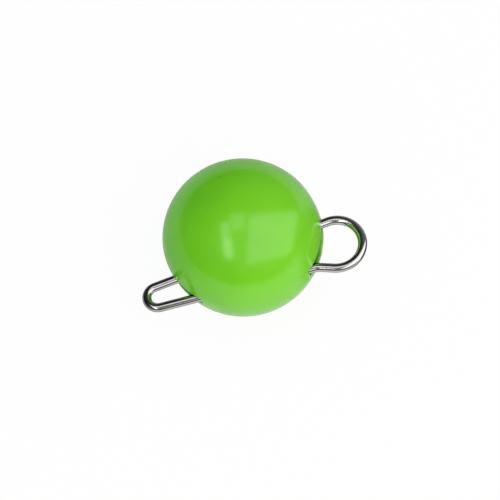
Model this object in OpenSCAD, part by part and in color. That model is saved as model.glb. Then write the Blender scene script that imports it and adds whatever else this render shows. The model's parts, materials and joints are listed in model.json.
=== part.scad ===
// Ball jig head: a painted lead ball with an off-centre slot, and the bent wire clip
// that holds it between a line loop and a hook loop.
// Lengths are millimetres. The wire lies in the plane z = 0, with +X towards the line
// loop, and the origin is at the middle of that loop.

/* [Ball] */
// Diameter of the ball over its paint
ball_d = 14; // [12.5:0.5:18]
// Thickness of the paint film
paint_t = 0.12; // [0.06:0.02:0.2]

/* [Wire] */
// Diameter of the spring wire
wire_d = 0.8; // [0.5:0.05:0.9]
// Length of the bevel on each cut end of the wire
cut_bevel = 0.12; // [0.05:0.01:0.2]
// Gap between the two cut ends, which face each other inside the ball
end_gap = 1; // [0.4:0.1:2]

/* [Line loop] */
// Radius of the line loop, to the middle of the wire
line_loop_r = 2.3; // [2:0.1:2.8]
// Distance from the ball's end to the middle of the line loop
line_loop_reach = 0.8; // [0.4:0.05:2]
// Drop from the ball's middle to the middle of the line loop
line_loop_drop = 2.85; // [2.65:0.05:3.05]
// Radius of the bend where the line leg turns out to its loop
neck_r = 1.5; // [1:0.25:3]
// Straight run from that bend to the loop
neck_run = 1.2; // [0.5:0.1:1.5]

/* [Hook loop] */
// Radius of the hook loop, to the middle of the wire
hook_loop_r = 1; // [0.8:0.05:1.3]
// Distance from the ball's other end to the middle of the hook loop
hook_loop_reach = 1.5; // [0.8:0.1:3]

/* [Slot] */
// Drop from the ball's middle to the two legs, which lie along the slot's floor
leg_drop = 4.55; // [4.3:0.05:4.75]
// Clearance from the wire to each side of the slot
side_clear = 0.2; // [0.15:0.05:0.5]
// Clearance from the wire to the floor and to the roof of the slot
end_clear = 0.1; // [0.05:0.05:0.3]

/* [Hidden] */
$fn = 64;

// The wire swells a hair where it is bent, and each straight run ends inside its bends
bend_swell = 0.002;
bend_lap = 0.03;

ball_r = ball_d / 2;
wire_r = wire_d / 2;
ball_x = -(ball_r + line_loop_reach);
ball_y = line_loop_drop;

// The legs run along X, and the hook loop stands on them
leg_y = ball_y - leg_drop;
hook_x = ball_x - ball_r - hook_loop_reach;
hook_y = leg_y + hook_loop_r;
hook_leg = ball_x - end_gap / 2 - hook_x;

// The long strand is the common outer tangent of the two loops
loop_span = norm([hook_x, hook_y]);
loop_step = line_loop_r - hook_loop_r;
rise = atan2(-hook_y, -hook_x) + asin(loop_step / loop_span);
strand_len = sqrt(loop_span ^ 2 - loop_step ^ 2);

// The neck turns the line leg out until its straight run is tangent to the line loop
neck_reach = neck_r + line_loop_r;
neck_angle = acos((neck_r - leg_y) / norm([neck_reach, neck_run])) - atan2(neck_run, neck_reach);
neck_x = -neck_reach * sin(neck_angle) - neck_run * cos(neck_angle);
line_leg = neck_x - ball_x - end_gap / 2;

// The slot is flat on all its sides, and its length only has to clear the ball
slot_half = wire_r + side_clear;
slot_end = wire_r + end_clear;
slot_len = 2 * ball_d;

module along_x(r, from, to) {
    translate([from, 0, 0]) rotate([0, 90, 0]) cylinder(r = r, h = to - from);
}

// A straight run between two bends. What follows it starts at its end
module run(length) {
    along_x(wire_r, -bend_lap, length + bend_lap);
    translate([length, 0, 0]) children();
}

// A straight leg that ends in a bevelled cut
module leg(length) {
    along_x(wire_r, -bend_lap, length - cut_bevel);
    translate([length - cut_bevel, 0, 0])
        rotate([0, 90, 0]) cylinder(r1 = wire_r, r2 = wire_r - cut_bevel, h = cut_bevel);
}

// A bend that leaves along X and turns left, or right where its angle is negative
module bend(r, angle) {
    middle = sign(angle) * r;
    translate([0, middle, 0]) {
        rotate_extrude(angle = abs(angle), start = angle > 0 ? -90 : 90 + angle)
            translate([r, 0]) circle(r = wire_r + bend_swell);
        rotate([0, 0, angle]) translate([0, -middle, 0]) children();
    }
}

// The slot through the ball, a wedge: its floor follows the legs and its roof the long strand
module slot(grow) {
    half = slot_len / 2;
    floor_y = leg_y - slot_end - grow;
    roof_y = hook_y + (hook_loop_r + slot_end + grow) / cos(rise) + (ball_x - hook_x) * tan(rise);
    linear_extrude(2 * (slot_half + grow), center = true) polygon([
        [ball_x - half, floor_y],
        [ball_x + half, floor_y],
        [ball_x + half, roof_y + half * tan(rise)],
        [ball_x - half, roof_y - half * tan(rise)]
    ]);
}

module slotted_ball(r, grow) {
    difference() {
        translate([ball_x, ball_y, 0]) sphere(r = r);
        slot(grow);
    }
}

module lead_ball() {
    color("dimgray") slotted_ball(ball_r - paint_t, paint_t);
}

module paint_coat() {
    color("yellowgreen") difference() {
        slotted_ball(ball_r, 0);
        slotted_ball(ball_r - paint_t, paint_t);
    }
}

// The wire as it is bent: the hook leg, and then from the hook loop round to the line leg
module wire_clip() {
    color("silver") translate([hook_x, leg_y, 0]) {
        leg(hook_leg);
        rotate([0, 0, 180]) bend(hook_loop_r, rise - 180) run(strand_len)
            bend(line_loop_r, -180 - rise - neck_angle) run(neck_run)
            bend(neck_r, neck_angle) leg(line_leg);
    }
}

lead_ball();
paint_coat();
wire_clip();
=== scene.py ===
"""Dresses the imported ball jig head: lime enamel on a slotted lead ball, and a bright drawn wire clip."""
import json
import math

import bmesh
import bpy
from bpy.props import FloatProperty, FloatVectorProperty, IntProperty, PointerProperty
from mathutils import Matrix, Vector


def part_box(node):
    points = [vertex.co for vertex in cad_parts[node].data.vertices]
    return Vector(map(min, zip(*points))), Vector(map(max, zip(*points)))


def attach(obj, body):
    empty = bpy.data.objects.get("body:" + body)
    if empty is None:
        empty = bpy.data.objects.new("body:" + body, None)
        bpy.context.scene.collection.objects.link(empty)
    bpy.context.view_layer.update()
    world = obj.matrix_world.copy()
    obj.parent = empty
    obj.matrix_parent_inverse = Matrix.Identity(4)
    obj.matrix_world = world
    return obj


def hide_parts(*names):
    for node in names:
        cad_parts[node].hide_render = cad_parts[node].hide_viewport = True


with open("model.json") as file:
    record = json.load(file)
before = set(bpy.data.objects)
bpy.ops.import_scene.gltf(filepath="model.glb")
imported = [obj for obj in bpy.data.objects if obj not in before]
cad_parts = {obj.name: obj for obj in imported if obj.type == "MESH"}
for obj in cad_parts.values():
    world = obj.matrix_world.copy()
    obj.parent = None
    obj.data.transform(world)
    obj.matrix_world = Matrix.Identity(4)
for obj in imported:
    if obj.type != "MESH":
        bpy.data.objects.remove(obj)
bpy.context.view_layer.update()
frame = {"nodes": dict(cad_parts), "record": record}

bl_info = {
    "name": "Ball jig head",
    "version": (1, 0, 0),
    "blender": (4, 5, 0),
    "location": "3D View > Sidebar > Jig head",
    "description": "Models the enamelled ball and the wire clip of a ball jig head, and sets its stage",
    "category": "Add Mesh",
}

MM = 0.001

# What the frame says: the ball from its paint, and both loops from the mounts and the wire's box
BALL_LOW, BALL_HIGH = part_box("paint_coat")
CLIP_LOW, CLIP_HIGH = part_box("wire_clip")
MOUNTS = {mount["name"]: Vector(mount["pos_m"]) for mount in frame["record"]["mounts"]}
BALL_RADIUS = (BALL_HIGH.y - BALL_LOW.y) / 2
BALL_MIDDLE = (BALL_LOW + BALL_HIGH) / 2
WIRE_RADIUS = (CLIP_HIGH.z - CLIP_LOW.z) / 2
LINE_LOOP = MOUNTS["line_loop"]
HOOK_LOOP = MOUNTS["hook_loop"]
LINE_LOOP_RADIUS = CLIP_HIGH.x - WIRE_RADIUS - LINE_LOOP.x
HOOK_LOOP_RADIUS = HOOK_LOOP.x - CLIP_LOW.x - WIRE_RADIUS
# Where the enamel has a pinhole, as a direction from the ball's middle
PINHOLE = Vector((-0.1, 0.471, 0.877))

WHITE = (1.0, 1.0, 1.0, 1.0)
FLOOR_RADIUS = 3.0
# Share of plain white in the floor where it is seen. The rest keeps the object's shadow
FLOOR_WHITE = 0.94
# The dark tent, and its round opening over the floor: behind the ball and to its left
TENT_RADIUS = 0.8
TENT_MIDDLE = Vector((BALL_MIDDLE.x - 0.11, BALL_MIDDLE.y + 0.11, BALL_LOW.z))
TENT_LIFT = 0.5 * MM
TENT_GLOW_LEFT, TENT_GLOW_RIGHT = 0.02, 0.15
OPENING_RADIUS = 0.26
OPENING_FADE = 0.1
# The floor's glow in the gloss fades across the ball in one direction, over a length, to a share of white
FADE_TURN = math.radians(57)
FADE_LENGTH = 0.05
FADE_GLOW = 0.48
# Dark patches painted into the floor's glow in the gloss beside the line loop, as painted shadow of the
# loop for the ball and wire to mirror.
# In millimetres: how far right of it and in front of it they lie, and the radii between which they fade
SHADOW_PATCHES = ((10, 0, 7, 13), (24, 1, 10, 18), (50, 6, 18, 30))
SHADOW_PATCH_GLOW = 0.15
# Each light has its distance from the ball, and the place of its mirror image on the ball's face: right and
# up as the camera sees it, in shares of the ball's radius
KEY_REACH = 0.45
KEY_ACROSS, KEY_UP = (0.0, 0.5), (-0.4, 0.3)
# Name: brightness in shares of the softbox setting, distance, width of the fading rim, four corners
SOFTBOXES = {
    "softbox": (0.92, 0.35, 0.15, ((0.0, -0.4), (0.64, -0.25), (0.77, 0.38), (0.03, 0.34))),
    "scrim": (0.15, 0.45, 0.4, ((-0.65, -0.55), (0.65, -0.55), (0.75, 0.3), (-0.55, 0.3))),
}
# Name: brightness in shares of the softbox setting, distance, reach across and up, tilt in degrees
GLOSS_LAMPS = {
    "softbox_top": (0.7, 0.41, (-0.14, 0.08), (0.1, 0.31), 9),
    "strip": (1.05, 0.33, (-0.25, -0.14), (-0.26, 0.2), 8),
    "strip_end": (0.75, 0.39, (-0.22, -0.12), (-0.26, -0.02), 8),
}


class BallSettings(bpy.types.PropertyGroup):
    """Sizes and colours of the enamelled ball."""
    radius: FloatProperty(
        name="Ball radius", description="Radius over the paint", default=BALL_RADIUS, unit="LENGTH")
    paint_thickness: FloatProperty(
        name="Paint thickness", description="Thickness of the enamel film",
        default=0.1 * MM, unit="LENGTH")
    side_clearance: FloatProperty(
        name="Side clearance", description="From the wire to each side of the slot",
        default=0.2 * MM, unit="LENGTH")
    end_clearance: FloatProperty(
        name="End clearance", description="From the wire to the slot's floor and roof",
        default=0.1 * MM, unit="LENGTH")
    corner_radius: FloatProperty(
        name="Corner radius", description="Rounding of the paint in the slot's corners",
        default=0.1 * MM, unit="LENGTH")
    mismatch: FloatProperty(
        name="Mismatch", description="How far each half of the casting lies out of line along the slot",
        default=0.06 * MM, unit="LENGTH")
    stretch: FloatProperty(
        name="Stretch", description="Length of the ball along the slot, in shares of its width",
        default=1.008)
    lip_radius: FloatProperty(
        name="Lip radius", description="Rounding of the paint over the slot's lips",
        default=0.06 * MM, unit="LENGTH")
    # Width of the highlight painted along the slot's lips.
    lip_width: FloatProperty(
        name="Lip width", description="Width of the rubbed paint along the slot's lips",
        default=0.25 * MM, unit="LENGTH")
    # The slot's walls darken with depth over this length, as painted shade of the recess.
    slot_shade_depth: FloatProperty(
        name="Grime depth", description="How far into the slot the enamel turns from clean to grimy",
        default=0.35 * MM, unit="LENGTH")
    enamel: FloatVectorProperty(
        name="Enamel", description="Lime green of the enamel", default=(0.172, 0.572, 0.012),
        subtype="COLOR", size=3)
    enamel_deep: FloatVectorProperty(
        name="Deep enamel", description="Green where the enamel lies thicker",
        default=(0.146, 0.523, 0.006), subtype="COLOR", size=3)
    # Dark green painted on the slot's walls as shade in the recess. The pits also take it as their own
    # colour.
    enamel_shade_and_pits: FloatVectorProperty(
        name="Enamel inside", description="Dark green of the grimy slot walls",
        default=(0.022, 0.17, 0.006), subtype="COLOR", size=3)
    # Pale green painted along the slot's lips as a highlight, broken up like rubbed paint.
    lip_highlight_green: FloatVectorProperty(
        name="Enamel lip", description="Pale green where the paint is rubbed on the lips",
        default=(0.42, 0.78, 0.25), subtype="COLOR", size=3)
    lead: FloatVectorProperty(
        name="Lead", description="Dull grey of the cast lead", default=(0.17, 0.17, 0.18),
        subtype="COLOR", size=3)
    lead_pale: FloatVectorProperty(
        name="Pale lead", description="Paler clouds in the cast lead", default=(0.28, 0.28, 0.3),
        subtype="COLOR", size=3)


class WireSettings(bpy.types.PropertyGroup):
    """Sizes and colours of the wire clip."""
    radius: FloatProperty(
        name="Wire radius", description="Radius of the spring wire", default=WIRE_RADIUS, unit="LENGTH")
    neck_radius: FloatProperty(
        name="Neck radius", description="Bend where the line leg turns out to its loop",
        default=1.5 * MM, unit="LENGTH")
    neck_run: FloatProperty(
        name="Neck run", description="Straight run from the neck to the line loop",
        default=1.2 * MM, unit="LENGTH")
    end_gap: FloatProperty(
        name="End gap", description="Between the two cut ends inside the ball",
        default=1.0 * MM, unit="LENGTH")
    cut_bevel: FloatProperty(
        name="Cut bevel", description="Bevel on each cut end", default=0.12 * MM, unit="LENGTH")
    sides: IntProperty(name="Sides", description="Faces round the wire", default=40, min=12)
    steel: FloatVectorProperty(
        name="Steel", description="Colour of the bright spring steel", default=(0.66, 0.65, 0.63),
        subtype="COLOR", size=3)
    steel_band: FloatVectorProperty(
        name="Steel bands", description="Duller bands that run along the wire", default=(0.52, 0.51, 0.49),
        subtype="COLOR", size=3)
    smut: FloatVectorProperty(
        name="Smut", description="Dark smuts on the wire", default=(0.26, 0.25, 0.23),
        subtype="COLOR", size=3)


class StageSettings(bpy.types.PropertyGroup):
    """Camera, floor and light."""
    azimuth: FloatProperty(
        name="Azimuth", description="Camera's turn round the object", default=math.radians(-0.5),
        subtype="ANGLE")
    elevation: FloatProperty(
        name="Elevation", description="Camera's height above the floor", default=math.radians(65.6),
        subtype="ANGLE")
    roll: FloatProperty(
        name="Roll", description="Camera's turn about its own view", default=math.radians(-13.9),
        subtype="ANGLE")
    distance: FloatProperty(
        name="Distance", description="From the camera to the ball's middle", default=245.0 * MM,
        unit="LENGTH")
    aim_right: FloatProperty(
        name="Aim right", description="How far right of the ball's middle the camera stands",
        default=0.617 * MM, unit="LENGTH")
    aim_up: FloatProperty(
        name="Aim up", description="How far above the ball's middle the camera stands",
        default=-1.1025 * MM, unit="LENGTH")
    lens: FloatProperty(name="Lens", description="Focal length in millimetres", default=200.0)
    floor: FloatVectorProperty(
        name="Floor", description="White of the floor", default=(0.9, 0.9, 0.9), subtype="COLOR", size=3)
    fill: FloatProperty(name="Fill", description="Light from all round on matt surfaces", default=0.74)
    fill_beside: FloatProperty(
        name="Fill beside", description="Share of the fill that comes from the line loop's side",
        default=0.5)
    fill_front: FloatVectorProperty(
        name="Fill in front", description="Colour of the fill from the front", default=(0.83, 0.98, 1.0),
        subtype="COLOR", size=3)
    fill_behind: FloatVectorProperty(
        name="Fill behind", description="Colour of the fill from behind", default=(0.6, 0.86, 0.92),
        subtype="COLOR", size=3)
    key: FloatProperty(
        name="Key", description="Brightness of the key light on matt surfaces", default=1.88)
    key_color: FloatVectorProperty(
        name="Key colour", description="Warm colour of the key light", default=(1.0, 0.85, 0.73),
        subtype="COLOR", size=3)
    softbox: FloatProperty(
        name="Softbox", description="Brightness of the softboxes in the gloss", default=1.74)


def deselect():
    """Leaves nothing selected, in object mode."""
    if bpy.context.mode != "OBJECT":
        bpy.ops.object.mode_set(mode="OBJECT")
    bpy.ops.object.select_all(action="DESELECT")


def pick(piece):
    """Selects one piece alone and makes it active."""
    deselect()
    piece.select_set(True)
    bpy.context.view_layer.objects.active = piece


def new_piece(name):
    """Names the primitive that was just added, puts its place into its mesh and opens it for editing."""
    piece = bpy.context.object
    piece.name = piece.data.name = name
    bpy.ops.object.transform_apply(location=True, rotation=True, scale=True)
    bpy.ops.object.mode_set(mode="EDIT")
    return piece


def select_where(piece, test):
    """In edit mode, selects the vertices that pass the test, and the edges and faces between them."""
    shape = bmesh.from_edit_mesh(piece.data)
    bpy.ops.mesh.select_mode(type="VERT")
    for vertex in shape.verts:
        vertex.select_set(test(vertex.co))
    shape.select_flush_mode()
    bmesh.update_edit_mesh(piece.data)


def apply_modifier(piece, kind, **settings):
    """Adds a modifier with these settings and applies it."""
    pick(piece)
    modifier = piece.modifiers.new(kind.title(), kind)
    for key, value in settings.items():
        setattr(modifier, key, value)
    bpy.ops.object.modifier_apply(modifier=modifier.name)


class Nodes:
    """A node tree whose nodes are added and wired one at a time."""

    def __init__(self, tree):
        self.tree = tree
        tree.nodes.clear()

    def add(self, kind, sockets=None, **settings):
        """Adds a node with these settings, and links or sets its input sockets."""
        node = self.tree.nodes.new("ShaderNode" + kind)
        for key, value in settings.items():
            setattr(node, key, value)
        for key, value in (sockets or {}).items():
            if isinstance(value, bpy.types.NodeSocket):
                self.tree.links.new(value, node.inputs[key])
            else:
                node.inputs[key].default_value = value
        return node

    def blend(self, share, first, second):
        """A colour between two others, which are settings or come from other nodes."""
        first, second = (color if isinstance(color, bpy.types.NodeSocket) else (*color, 1.0)
                         for color in (first, second))
        mix = self.add("Mix", {0: share, 6: first, 7: second}, data_type="RGBA")
        return mix.outputs[2]

    def between(self, value, low, high, to_low=0.0, to_high=1.0):
        """Maps a value from one range to another, smoothly."""
        node = self.add("MapRange", {0: value, 1: low, 2: high, 3: to_low, 4: to_high},
                        interpolation_type="SMOOTHSTEP")
        return node.outputs[0]

    def times(self, first, second):
        """The product of two values."""
        return self.add("Math", {0: first, 1: second}, operation="MULTIPLY").outputs[0]

    def larger(self, first, second):
        """The larger of two values."""
        return self.add("Math", {0: first, 1: second}, operation="MAXIMUM").outputs[0]

    def distance(self, first, second):
        """How far two places lie apart."""
        return self.add("VectorMath", {0: first, 1: second}, operation="DISTANCE").outputs["Value"]

    def noise(self, place, scale, detail, roughness=0.5):
        """Soft noise over these coordinates."""
        return self.add("TexNoise", {
            "Vector": place, "Scale": scale, "Detail": detail, "Roughness": roughness}).outputs["Fac"]

    def bump(self, height, strength, distance):
        """The surface's normal, roughened by this height."""
        return self.add("Bump", {
            "Strength": strength, "Distance": distance, "Height": height}).outputs["Normal"]

    def seen(self):
        """1 for camera, glossy and transmission rays."""
        path = self.add("LightPath").outputs
        either = self.larger(path["Is Camera Ray"], path["Is Glossy Ray"])
        return self.larger(either, path["Is Transmission Ray"])


class Finish(Nodes):
    """A material made of such nodes."""

    def __init__(self, name):
        self.material = bpy.data.materials.new(name)
        self.material.use_nodes = True
        super().__init__(self.material.node_tree)

    def end(self, shader):
        """Wires the shader to the material's surface."""
        self.add("OutputMaterial", {"Surface": shader})
        return self.material


class ClipPath:
    """The wire's middle line, as legs that follow each other: straight runs and turns."""

    def __init__(self, wire):
        self.leg_y = HOOK_LOOP.y - HOOK_LOOP_RADIUS
        span = LINE_LOOP - HOOK_LOOP
        step = LINE_LOOP_RADIUS - HOOK_LOOP_RADIUS
        self.rise = math.atan2(span.y, span.x) + math.asin(step / span.length)
        strand = math.sqrt(span.length ** 2 - step ** 2)
        reach = wire.neck_radius + LINE_LOOP_RADIUS
        drop = LINE_LOOP.y - self.leg_y + wire.neck_radius
        neck = math.acos(drop / math.hypot(reach, wire.neck_run)) - math.atan2(wire.neck_run, reach)
        neck_x = LINE_LOOP.x - reach * math.sin(neck) - wire.neck_run * math.cos(neck)
        half_gap = wire.end_gap / 2
        self.start = Vector((BALL_MIDDLE.x - half_gap, self.leg_y, 0.0))
        self.legs = self.lay(math.pi, [
            (self.start.x - HOOK_LOOP.x, 0.0),
            (HOOK_LOOP_RADIUS, self.rise - math.pi),
            (strand, 0.0),
            (LINE_LOOP_RADIUS, -math.pi - self.rise - neck),
            (wire.neck_run, 0.0),
            (wire.neck_radius, neck),
            (neck_x - BALL_MIDDLE.x - half_gap, 0.0),
        ])

    def lay(self, heading, steps):
        """Places each leg after the one before it. A step is a length, or the radius of a turn."""
        legs, place, along = [], self.start.copy(), 0.0
        for size, turn in steps:
            ahead = Vector((math.cos(heading), math.sin(heading), 0.0))
            left = Vector((-ahead.y, ahead.x, 0.0))
            leg = {"from": place, "ahead": ahead, "left": left,
                   "size": size, "turn": turn, "along": along}
            if turn:
                leg["middle"] = place + left * math.copysign(size, turn)
                place = leg["middle"] + Matrix.Rotation(turn, 3, "Z") @ (place - leg["middle"])
                heading += turn
                along += abs(turn) * size
            else:
                place = place + ahead * size
                along += size
            legs.append(leg)
        return legs

    def strand_y(self, x):
        """Height of the long strand's middle line at x."""
        return (HOOK_LOOP.y + HOOK_LOOP_RADIUS / math.cos(self.rise)
                + (x - HOOK_LOOP.x) * math.tan(self.rise))

    def straightened(self, point):
        """A point of the wire as if the wire were straight: across it, up, and along it."""
        found = []
        flat = Vector((point.x, point.y, 0.0))
        for leg in self.legs:
            if leg["turn"]:
                side = math.copysign(1.0, leg["turn"])
                out = flat - leg["middle"]
                first = -leg["left"] * side
                turned = math.atan2(first.cross(out).z, first.dot(out)) * side
                # Beyond the middle of what the turn leaves open, a point is nearer to the turn's far end
                if turned < abs(leg["turn"]) / 2 - math.pi:
                    turned += 2 * math.pi
                share = min(max(turned, 0.0), abs(leg["turn"]))
                nearest = leg["middle"] + Matrix.Rotation(share * side, 3, "Z") @ (first * leg["size"])
                across = (leg["size"] - out.length) * side
                along = leg["along"] + share * leg["size"]
            else:
                share = min(max((flat - leg["from"]).dot(leg["ahead"]), 0.0), leg["size"])
                nearest = leg["from"] + leg["ahead"] * share
                across = (flat - leg["from"]).dot(leg["left"])
                along = leg["along"] + share
            found.append(((flat - nearest).length, across, along))
        _, across, along = min(found)
        return across, point.z, along


class SlottedBall:
    """The ball with its tapered slot, as rings of points round the slot, from the ball's middle."""
    CORNER_SPOKES = 20
    END_SPOKES = 8
    SIDE_SPOKES = 14
    LIP_STEPS = 6
    WALL_STEPS = 24
    FACE_STEPS = 110

    def __init__(self, ball, wire):
        path = ClipPath(wire)
        end = wire.radius + ball.end_clearance
        self.ball_radius = ball.radius
        self.lip_radius = ball.lip_radius
        self.corner = ball.corner_radius
        self.half = wire.radius + ball.side_clearance - self.corner
        self.slope = math.tan(path.rise)
        self.floor_y = path.leg_y - end + self.corner - BALL_MIDDLE.y
        roof_y = path.strand_y(BALL_MIDDLE.x) + (end - self.corner) / math.cos(path.rise)
        self.roof_y = roof_y - BALL_MIDDLE.y
        self.spokes = self.outline()

    def outline(self):
        """Spokes round the slot: the share of the way from floor to roof, the side, and the direction."""
        spokes = []
        for share, turn in ((0.0, math.pi), (1.0, 0.0)):
            side = -self.half if turn else self.half
            quarter = [math.pi / 2 * i / self.CORNER_SPOKES for i in range(self.CORNER_SPOKES + 1)]
            spokes += [(share, side, turn + angle) for angle in quarter]
            spokes += [(share, side * (1 - 2 * i / self.END_SPOKES), turn + math.pi / 2)
                       for i in range(1, self.END_SPOKES)]
            spokes += [(share, -side, turn + math.pi / 2 + angle) for angle in quarter]
            spokes += [(abs(share - i / self.SIDE_SPOKES), -side, turn + math.pi)
                       for i in range(1, self.SIDE_SPOKES)]
        return spokes

    def point(self, spoke, x, spread):
        """A point of the slot's outline at x, moved out from the wall by spread."""
        share, side, turn = spoke
        reach = self.corner + spread
        y = self.floor_y + share * (self.roof_y + self.slope * x - self.floor_y)
        return Vector((x, y + reach * math.sin(turn), side + reach * math.cos(turn)))

    def mouth(self, end, spread, depth):
        """The outline at one mouth, at a depth under the ball's surface. End is -1 or 1."""
        shell = self.ball_radius - depth
        ring = []
        for spoke in self.spokes:
            x = end * shell
            for _ in range(20):
                point = self.point(spoke, x, spread)
                x = end * math.sqrt(max(shell ** 2 - point.y ** 2 - point.z ** 2, 0.0))
            ring.append(self.point(spoke, x, spread))
        return ring

    def lip(self, end):
        """Rings of one mouth's rounded lip, from the ball's face to the slot's wall."""
        rings = []
        for step in range(self.LIP_STEPS + 1):
            angle = math.pi / 2 * step / self.LIP_STEPS
            rings.append(self.mouth(
                end, self.lip_radius * (1 - math.sin(angle)), self.lip_radius * (1 - math.cos(angle))))
        return rings

    def over_face(self, spoke, start, end, share):
        """A point of the ball's face on the way from mouth to mouth, which starts out along a spoke."""
        out = Vector((0.0, math.sin(spoke[2]), math.cos(spoke[2])))
        square = (end - start).cross(out).normalized()
        middle = square * start.dot(square)
        first, last = start - middle, end - middle
        ahead = square.cross(first)
        if ahead.dot(out) < 0:
            ahead.negate()
        angle = math.atan2(last.dot(ahead), last.dot(first)) % (2 * math.pi) * share
        return middle + first * math.cos(angle) + ahead * math.sin(angle)

    def rings(self):
        """Rings over the ball's face, in through one mouth, along the slot and out of the other."""
        left, right = self.lip(-1), self.lip(1)
        face = []
        for step in range(self.FACE_STEPS):
            share = step / self.FACE_STEPS
            face.append([self.over_face(*ends, share) for ends in zip(self.spokes, left[0], right[0])])
        walls = [[a.lerp(b, step / self.WALL_STEPS) for a, b in zip(right[-1], left[-1])]
                 for step in range(1, self.WALL_STEPS)]
        return face + right + walls + left[::-1]

    def wall_distance(self, point):
        """How far a point lies outside the slot's wall."""
        roof = self.roof_y + self.slope * point.x
        y = min(max(point.y, self.floor_y), roof)
        return math.hypot(point.y - y, max(abs(point.z) - self.half, 0.0)) - self.corner


def loft(name, rings):
    """Extrudes a loop of edges from ring to ring, and joins the last ring to the first."""
    deselect()
    bpy.ops.mesh.primitive_circle_add(vertices=len(rings[0]), radius=1.0, fill_type="NOTHING")
    piece = new_piece(name)
    shape = bmesh.from_edit_mesh(piece.data)
    mark = shape.verts.layers.int.new("spoke")
    for number, vertex in enumerate(shape.verts):
        vertex[mark] = number
    bmesh.update_edit_mesh(piece.data)
    bpy.ops.mesh.select_all(action="SELECT")
    for number, ring in enumerate(rings):
        if number:
            bpy.ops.mesh.extrude_region_move()
        shape = bmesh.from_edit_mesh(piece.data)
        mark = shape.verts.layers.int["spoke"]
        for vertex in shape.verts:
            if vertex.select:
                vertex.co = ring[vertex[mark]]
        bmesh.update_edit_mesh(piece.data)
    bpy.ops.mesh.select_all(action="SELECT")
    bpy.ops.mesh.remove_doubles(threshold=0.0005 * MM)
    bpy.ops.mesh.normals_make_consistent(inside=False)
    deselect()
    return piece


def enamel_finish(ball):
    """Glossy enamel: soft patches, faint orange peel, a few pits, a painted lip highlight like rubbed
    paint, and painted shade in the slot.
    """
    finish = Finish("lime_enamel")
    place = finish.add("TexCoord").outputs["Object"]
    patches = finish.noise(place, 160.0, 3.0)
    peel = finish.noise(place, 1400.0, 2.0, 0.45)
    wear = finish.noise(place, 900.0, 3.0, 0.6)
    cells = finish.add("TexVoronoi", {"Vector": place, "Scale": 830.0, "Randomness": 1.0}).outputs
    kept = finish.add("SeparateColor", {"Color": cells["Color"]}).outputs["Red"]
    specks = finish.times(
        finish.between(cells["Distance"], 0.04, 0.08, 1.0, 0.0), finish.between(kept, 0.95, 0.96))
    pinhole = finish.distance(place, BALL_MIDDLE + PINHOLE * ball.radius)
    pits = finish.larger(specks, finish.between(pinhole, 0.06 * MM, 0.13 * MM, 1.0, 0.0))
    lip = finish.add("Attribute", attribute_name="lip").outputs["Fac"]
    inside = finish.add("Attribute", attribute_name="inside").outputs["Fac"]
    # Painted highlight: a pale band along the lips, broken up by wear noise like rubbed paint.
    lip_highlight_share = finish.times(finish.between(lip, 0.35, 0.75), finish.between(wear, 0.38, 0.62, 0.15, 0.85))
    tone = finish.blend(finish.between(patches, 0.35, 0.68), ball.enamel, ball.enamel_deep)
    tone = finish.blend(lip_highlight_share, tone, ball.lip_highlight_green)
    # Painted shade: the slot's walls turn dark green with depth, as shade falls in the recess.
    tone = finish.blend(finish.between(inside, 0.0, 1.0, 0.0, 0.9), tone, ball.enamel_shade_and_pits)
    tone = finish.blend(finish.between(pits, 0.0, 1.0, 0.0, 0.6), tone, ball.enamel_shade_and_pits)
    height = finish.add("Math", {0: pits, 1: -0.6, 2: peel}, operation="MULTIPLY_ADD").outputs[0]
    shader = finish.add("BsdfPrincipled", {
        "Base Color": tone, "Roughness": finish.between(patches, 0.3, 0.7, 0.17, 0.22), "IOR": 1.58,
        "Normal": finish.bump(height, 0.35, 0.006 * MM)})
    return finish.end(shader.outputs["BSDF"])


def lead_finish(ball):
    """Cast lead: dull grey with paler clouds and the fine pimples of the mould."""
    finish = Finish("cast_lead")
    place = finish.add("TexCoord").outputs["Object"]
    clouds = finish.noise(place, 500.0, 4.0, 0.6)
    grain = finish.noise(place, 6000.0, 3.0)
    shader = finish.add("BsdfPrincipled", {
        "Base Color": finish.blend(clouds, ball.lead, ball.lead_pale), "Metallic": 1.0,
        "Roughness": finish.between(clouds, 0.3, 0.7, 0.42, 0.6),
        "Normal": finish.bump(grain, 0.5, 0.02 * MM)})
    return finish.end(shader.outputs["BSDF"])


def steel_finish(wire):
    """Bright drawn steel: faint bands and die lines that run along the wire, and a few smuts."""
    finish = Finish("drawn_steel")
    place = finish.add("Attribute", attribute_name="straightened").outputs["Vector"]
    drawn = finish.add("Mapping", {"Vector": place, "Scale": (1.0, 1.0, 0.012)}).outputs["Vector"]
    lines = finish.noise(drawn, 7000.0, 2.0)
    bands = finish.noise(drawn, 2500.0, 1.0)
    smuts = finish.noise(place, 700.0, 3.0, 0.6)
    tone = finish.blend(finish.between(bands, 0.35, 0.75), wire.steel, wire.steel_band)
    tone = finish.blend(finish.between(smuts, 0.58, 0.8, 0.0, 0.3), tone, wire.smut)
    shader = finish.add("BsdfPrincipled", {
        "Base Color": tone, "Metallic": 1.0, "Roughness": finish.between(lines, 0.3, 0.75, 0.12, 0.17),
        "Specular Tint": (0.15, 0.15, 0.15, 1.0), "Normal": finish.bump(lines, 0.06, 0.002 * MM)})
    return finish.end(shader.outputs["BSDF"])


class JIG_OT_lead_ball(bpy.types.Operator):
    """Gives the lead casting its dull cast finish"""
    bl_idname = "jig.lead_ball"
    bl_label = "Lead ball"

    def execute(self, context):
        casting = frame["nodes"]["lead_ball"]
        casting.data.materials.clear()
        casting.data.materials.append(lead_finish(context.scene.jig_ball))
        return {"FINISHED"}


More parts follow.
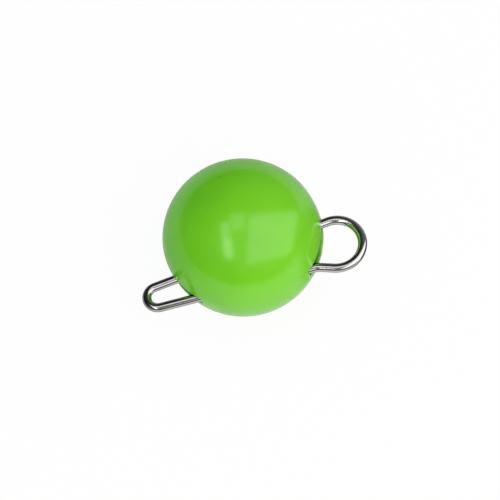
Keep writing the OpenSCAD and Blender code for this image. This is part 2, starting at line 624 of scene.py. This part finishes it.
class JIG_OT_enamel_coat(bpy.types.Operator):
    """Models the enamel over the ball, with the slot and its rounded lips"""
    bl_idname = "jig.enamel_coat"
    bl_label = "Enamel coat"
    SMOOTH_ANGLE = math.radians(40)

    def execute(self, context):
        ball, wire = context.scene.jig_ball, context.scene.jig_wire
        slotted = SlottedBall(ball, wire)
        coat = loft("enamel_coat", slotted.rings())
        apply_modifier(coat, "SOLIDIFY", thickness=ball.paint_thickness, offset=-1.0)
        self.mark_slot(coat, slotted, ball)
        self.shift_halves(coat, slotted, ball)
        pick(coat)
        bpy.ops.object.shade_smooth_by_angle(angle=self.SMOOTH_ANGLE)
        coat.location = BALL_MIDDLE
        bpy.ops.object.transform_apply(location=True)
        coat.data.materials.clear()
        coat.data.materials.append(enamel_finish(ball))
        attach(coat, "weight")
        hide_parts("paint_coat")
        return {"FINISHED"}

    def mark_slot(self, coat, slotted, ball):
        """Stores how near each point lies to a mouth's rounded edge, and how deep it lies in the slot."""
        lips = coat.data.attributes.new("lip", "FLOAT", "POINT")
        depths = coat.data.attributes.new("inside", "FLOAT", "POINT")
        on_wall = 0.2 * slotted.lip_radius
        for vertex, lip, inside in zip(coat.data.vertices, lips.data, depths.data):
            off_wall = max(slotted.wall_distance(vertex.co), 0.0)
            depth = max(slotted.ball_radius - vertex.co.length, 0.0)
            # Nearness to the lip's edge drives the painted lip highlight. Depth on the walls drives the
            # painted shade in the slot.
            lip.value = max(0.0, 1 - math.hypot(off_wall, depth) / ball.lip_width)
            if off_wall < on_wall:
                inside.value = min(depth / ball.slot_shade_depth, 1.0)

    def shift_halves(self, coat, slotted, ball):
        """Moves the two halves of the casting apart along the slot, as a worn mould leaves them."""
        wall = slotted.half + slotted.corner
        for vertex in coat.data.vertices:
            side = min(max(vertex.co.z / wall, -1.0), 1.0)
            vertex.co.x = vertex.co.x * ball.stretch - ball.mismatch * side


class JIG_OT_drawn_wire(bpy.types.Operator):
    """Bends the wire clip: leg, hook loop, long strand, line loop, neck and leg"""
    bl_idname = "jig.drawn_wire"
    bl_label = "Drawn wire"
    SMOOTH_ANGLE = math.radians(35)
    TURN_STEP = math.radians(4)
    RUN_STEP = 1.0 * MM

    def execute(self, context):
        wire = context.scene.jig_wire
        path = ClipPath(wire)
        deselect()
        bpy.ops.mesh.primitive_circle_add(
            vertices=wire.sides, radius=wire.radius, fill_type="NGON", location=path.start,
            rotation=(0.0, math.pi / 2, 0.0))
        piece = new_piece("drawn_wire")
        bpy.ops.mesh.select_all(action="SELECT")
        for leg in path.legs:
            self.pull(leg)
        bpy.ops.mesh.select_all(action="SELECT")
        bpy.ops.mesh.remove_doubles(threshold=0.001 * MM)
        bpy.ops.mesh.normals_make_consistent(inside=False)
        self.bevel_ends(piece, path, wire)
        self.mark_length(piece, path)
        pick(piece)
        bpy.ops.object.shade_smooth_by_angle(angle=self.SMOOTH_ANGLE)
        piece.data.materials.append(steel_finish(wire))
        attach(piece, "clip")
        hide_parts("wire_clip")
        return {"FINISHED"}

    def pull(self, leg):
        """Extrudes the wire's end along a straight leg, or spins it round a turn."""
        if leg["turn"]:
            steps = max(6, round(abs(leg["turn"]) / self.TURN_STEP))
            bpy.ops.mesh.spin(steps=steps, angle=leg["turn"], center=leg["middle"], axis=(0.0, 0.0, -1.0))
            return
        steps = max(1, round(leg["size"] / self.RUN_STEP))
        for _ in range(steps):
            bpy.ops.mesh.extrude_region_move(
                TRANSFORM_OT_translate={"value": leg["ahead"] * (leg["size"] / steps)})

    def bevel_ends(self, piece, path, wire):
        """Bevels the rims of both cut ends."""
        last = path.legs[-1]
        ends = [path.start, last["from"] + last["ahead"] * last["size"]]
        near = wire.radius * 1.05
        select_where(piece, lambda place: any(
            abs(place.x - end.x) < 0.001 * MM and (place - end).length < near for end in ends))
        bpy.ops.mesh.bevel(offset=wire.cut_bevel, segments=3, affect="EDGES")
        deselect()

    def mark_length(self, piece, path):
        """Stores where each point would lie if the wire were straight."""
        places = piece.data.attributes.new("straightened", "FLOAT_VECTOR", "POINT")
        for vertex, place in zip(piece.data.vertices, places.data):
            place.vector = path.straightened(vertex.co)


class JIG_OT_stage(bpy.types.Operator):
    """Sets the camera, the white floor and the softboxes in their dark tent"""
    bl_idname = "jig.stage"
    bl_label = "Stage"

    def execute(self, context):
        scene, stage = context.scene, context.scene.jig_stage
        scene.view_settings.view_transform = "Standard"
        axes = self.set_camera(scene, stage)
        self.lay_floor(stage)
        self.pitch_tent()
        self.light_world(scene, stage)
        key = self.hang_lamp("key", axes, stage.key, KEY_REACH, KEY_ACROSS, KEY_UP)
        key.data.color = stage.key_color
        key.visible_glossy = False
        for name, (glow, reach, rim, corners) in SOFTBOXES.items():
            self.hang_softbox(name, axes, glow * stage.softbox, reach, rim, corners)
        for name, (glow, reach, across, up, tilt) in GLOSS_LAMPS.items():
            lamp = self.hang_lamp(name, axes, glow * stage.softbox, reach, across, up, math.radians(tilt))
            lamp.visible_diffuse = False
        return {"FINISHED"}

    def set_camera(self, scene, stage):
        """Places the camera and returns its axes: right, up and back."""
        level = math.cos(stage.elevation)
        back = Vector((math.sin(stage.azimuth) * level, -math.cos(stage.azimuth) * level,
                       math.sin(stage.elevation)))
        across = Vector((0.0, 0.0, 1.0)).cross(back).normalized()
        turn = Matrix.Rotation(stage.roll, 3, back)
        right, up = turn @ across, turn @ back.cross(across)
        camera = bpy.data.objects.new("camera", bpy.data.cameras.new("camera"))
        camera.data.lens = stage.lens
        camera.data.clip_start, camera.data.clip_end = 0.01, 10.0
        scene.collection.objects.link(camera)
        place = BALL_MIDDLE + back * stage.distance + right * stage.aim_right + up * stage.aim_up
        camera.matrix_world = Matrix.Translation(place) @ Matrix((right, up, back)).transposed().to_4x4()
        scene.camera = camera
        return right, up, back

    def lay_floor(self, stage):
        """A wide white floor under the ball, which keeps a pale shadow, is dimmer in the gloss and has
        painted shadow beside the line loop there.
        """
        deselect()
        bpy.ops.mesh.primitive_circle_add(
            vertices=64, radius=FLOOR_RADIUS, fill_type="NGON",
            location=(BALL_MIDDLE.x, BALL_MIDDLE.y, BALL_LOW.z))
        floor = new_piece("floor")
        deselect()
        finish = Finish("white_floor")
        place = finish.add("TexCoord").outputs["Object"]
        turned = finish.add("Mapping", {
            "Vector": place, "Location": (0.5, 0.0, 0.0), "Rotation": (0.0, 0.0, FADE_TURN),
            "Scale": [1 / FADE_LENGTH] * 3}).outputs["Vector"]
        fade = finish.add("TexGradient", {"Vector": turned}).outputs["Fac"]
        fade = finish.between(fade, 0.0, 1.0, FADE_GLOW, 1.0)
        away = finish.distance(place, TENT_MIDDLE)
        fade = finish.times(
            fade, finish.between(away, OPENING_RADIUS - OPENING_FADE, OPENING_RADIUS, 1.0, 0.0))
        # Painted shadow: the floor's glow in the gloss is darkened beside the line loop.
        for right, ahead, near, far in SHADOW_PATCHES:
            shadow_patch = Vector((LINE_LOOP.x + right * MM, LINE_LOOP.y - ahead * MM, BALL_LOW.z))
            away = finish.distance(place, shadow_patch)
            fade = finish.times(fade, finish.between(away, near * MM, far * MM, SHADOW_PATCH_GLOW, 1.0))
        glow = finish.larger(finish.add("LightPath").outputs["Is Camera Ray"], fade)
        matt = finish.add("BsdfDiffuse", {"Color": (*stage.floor, 1.0)})
        white = finish.add("Emission", {"Color": WHITE, "Strength": glow})
        mixed = finish.add("MixShader", {
            0: finish.times(finish.seen(), FLOOR_WHITE), 1: matt.outputs[0], 2: white.outputs[0]})
        floor.data.materials.append(finish.end(mixed.outputs[0]))

    def show_to_gloss(self, piece):
        """Hides a piece from all rays but the glossy ones."""
        for ray in ("camera", "diffuse", "shadow", "transmission"):
            setattr(piece, "visible_" + ray, False)

    def pitch_tent(self):
        """A dark tent with a round opening over the white floor, which only the gloss mirrors."""
        level = BALL_LOW.z + TENT_LIFT
        deselect()
        bpy.ops.mesh.primitive_uv_sphere_add(
            segments=48, ring_count=24, radius=TENT_RADIUS, location=TENT_MIDDLE)
        tent = new_piece("dark_tent")
        bpy.ops.mesh.select_all(action="SELECT")
        bpy.ops.mesh.bisect(
            plane_co=(0.0, 0.0, level), plane_no=(0.0, 0.0, 1.0), clear_inner=True, use_fill=True)
        select_where(tent, lambda place: place.z < level + 0.1 * MM)
        bpy.ops.mesh.inset(thickness=TENT_RADIUS - OPENING_RADIUS)
        bpy.ops.mesh.delete(type="FACE")
        deselect()
        finish = Finish("dark_cloth")
        place = finish.add("TexCoord").outputs["Object"]
        to_right = finish.add("SeparateXYZ", {"Vector": place}).outputs["X"]
        glow = finish.between(to_right, -0.1, 0.6, TENT_GLOW_LEFT, TENT_GLOW_RIGHT)
        cloth = finish.add("Emission", {"Color": WHITE, "Strength": glow})
        tent.data.materials.append(finish.end(cloth.outputs[0]))
        self.show_to_gloss(tent)

    def light_world(self, scene, stage):
        """White where it is seen, and a fill on matt surfaces, dimmer from behind and beside."""
        scene.world = bpy.data.worlds.new("studio")
        scene.world.use_nodes = True
        nodes = Nodes(scene.world.node_tree)
        heading = nodes.add("TexCoord").outputs["Generated"]
        sides = nodes.add("SeparateXYZ", {"Vector": heading}).outputs
        behind = nodes.add("MapRange", {"Value": sides["Y"], "From Min": -1.0}).outputs[0]
        beside = nodes.add("MapRange", {
            "Value": sides["X"], "To Min": stage.fill, "To Max": stage.fill_beside * stage.fill}).outputs[0]
        tone = nodes.blend(behind, stage.fill_front, stage.fill_behind)
        fill = nodes.add("Background", {"Color": tone, "Strength": beside})
        white = nodes.add("Background", {"Color": WHITE})
        mixed = nodes.add("MixShader", {0: nodes.seen(), 1: fill.outputs[0], 2: white.outputs[0]})
        nodes.add("OutputWorld", {"Surface": mixed.outputs[0]})

    def mirrored(self, axes, x, y):
        """The direction that the camera sees mirrored at a place on the ball's face."""
        right, top, back = axes
        facing = right * x + top * y + back * math.sqrt(1 - x * x - y * y)
        return 2 * facing.dot(back) * facing - back

    def hang_softbox(self, name, axes, glow, reach, rim, corners):
        """A softbox with a fading rim, whose mirror image on the ball's face has these four corners."""
        deselect()
        bpy.ops.mesh.primitive_grid_add(x_subdivisions=12, y_subdivisions=12, size=1.0)
        box = new_piece(name)
        deselect()
        first, second, third, fourth = (Vector(corner) for corner in corners)
        for vertex in box.data.vertices:
            share = vertex.co.x + 0.5
            low, high = first.lerp(second, share), fourth.lerp(third, share)
            vertex.co = BALL_MIDDLE + self.mirrored(axes, *low.lerp(high, vertex.co.y + 0.5)) * reach
        finish = Finish(name + "_cloth")
        place = finish.add("TexCoord").outputs["UV"]
        sides = finish.add("SeparateXYZ", {"Vector": place}).outputs
        for side in ("X", "Y"):
            for start, end in ((0.0, rim), (1.0, 1.0 - rim)):
                glow = finish.times(glow, finish.between(sides[side], start, end))
        cloth = finish.add("Emission", {"Color": WHITE, "Strength": glow})
        box.data.materials.append(finish.end(cloth.outputs[0]))
        self.show_to_gloss(box)

    def hang_lamp(self, name, axes, glow, reach, across, up, tilt=0.0):
        """A lamp whose mirror image fills this part of the ball's face."""
        right = axes[0]
        x, y = sum(across) / 2, sum(up) / 2
        middle = self.mirrored(axes, x, y)
        wide = self.mirrored(axes, across[0], y).angle(self.mirrored(axes, across[1], y))
        high = self.mirrored(axes, x, up[0]).angle(self.mirrored(axes, x, up[1]))
        lamp = bpy.data.lights.new(name, "AREA")
        lamp.shape = "RECTANGLE"
        lamp.size = 2 * reach * math.tan(wide / 2)
        lamp.size_y = 2 * reach * math.tan(high / 2)
        lamp.energy = glow * math.pi * lamp.size * lamp.size_y
        box = bpy.data.objects.new(name, lamp)
        bpy.context.scene.collection.objects.link(box)
        side = (right - middle * right.dot(middle)).normalized()
        turn = Matrix((side, middle.cross(side), middle)).transposed().to_4x4()
        place = Matrix.Translation(BALL_MIDDLE + middle * reach)
        box.matrix_world = place @ turn @ Matrix.Rotation(tilt, 4, "Z")
        box.visible_camera = False
        return box


class JIG_PT_panel(bpy.types.Panel):
    """Steps of the jig head's build"""
    bl_label = "Ball jig head"
    bl_idname = "JIG_PT_panel"
    bl_space_type = "VIEW_3D"
    bl_region_type = "UI"
    bl_category = "Jig head"

    def draw(self, context):
        for operator in STEPS:
            self.layout.operator(operator.bl_idname)
        for group in GROUPS:
            settings = getattr(context.scene, group)
            for name in settings.bl_rna.properties.keys():
                if name not in ("rna_type", "name"):
                    self.layout.prop(settings, name)


STEPS = (JIG_OT_lead_ball, JIG_OT_enamel_coat, JIG_OT_drawn_wire, JIG_OT_stage)
GROUPS = {"jig_ball": BallSettings, "jig_wire": WireSettings, "jig_stage": StageSettings}


def register():
    """Registers the settings, the steps and the panel."""
    for group, settings in GROUPS.items():
        bpy.utils.register_class(settings)
        setattr(bpy.types.Scene, group, PointerProperty(type=settings))
    for operator in (*STEPS, JIG_PT_panel):
        bpy.utils.register_class(operator)


def unregister():
    """Takes back what register did."""
    for operator in reversed((*STEPS, JIG_PT_panel)):
        bpy.utils.unregister_class(operator)
    for group, settings in GROUPS.items():
        delattr(bpy.types.Scene, group)
        bpy.utils.unregister_class(settings)


def main():
    """Builds the pieces and the stage in order."""
    register()
    bpy.ops.jig.lead_ball()
    bpy.ops.jig.enamel_coat()
    bpy.ops.jig.drawn_wire()
    bpy.ops.jig.stage()


if __name__ == "__main__":
    main()
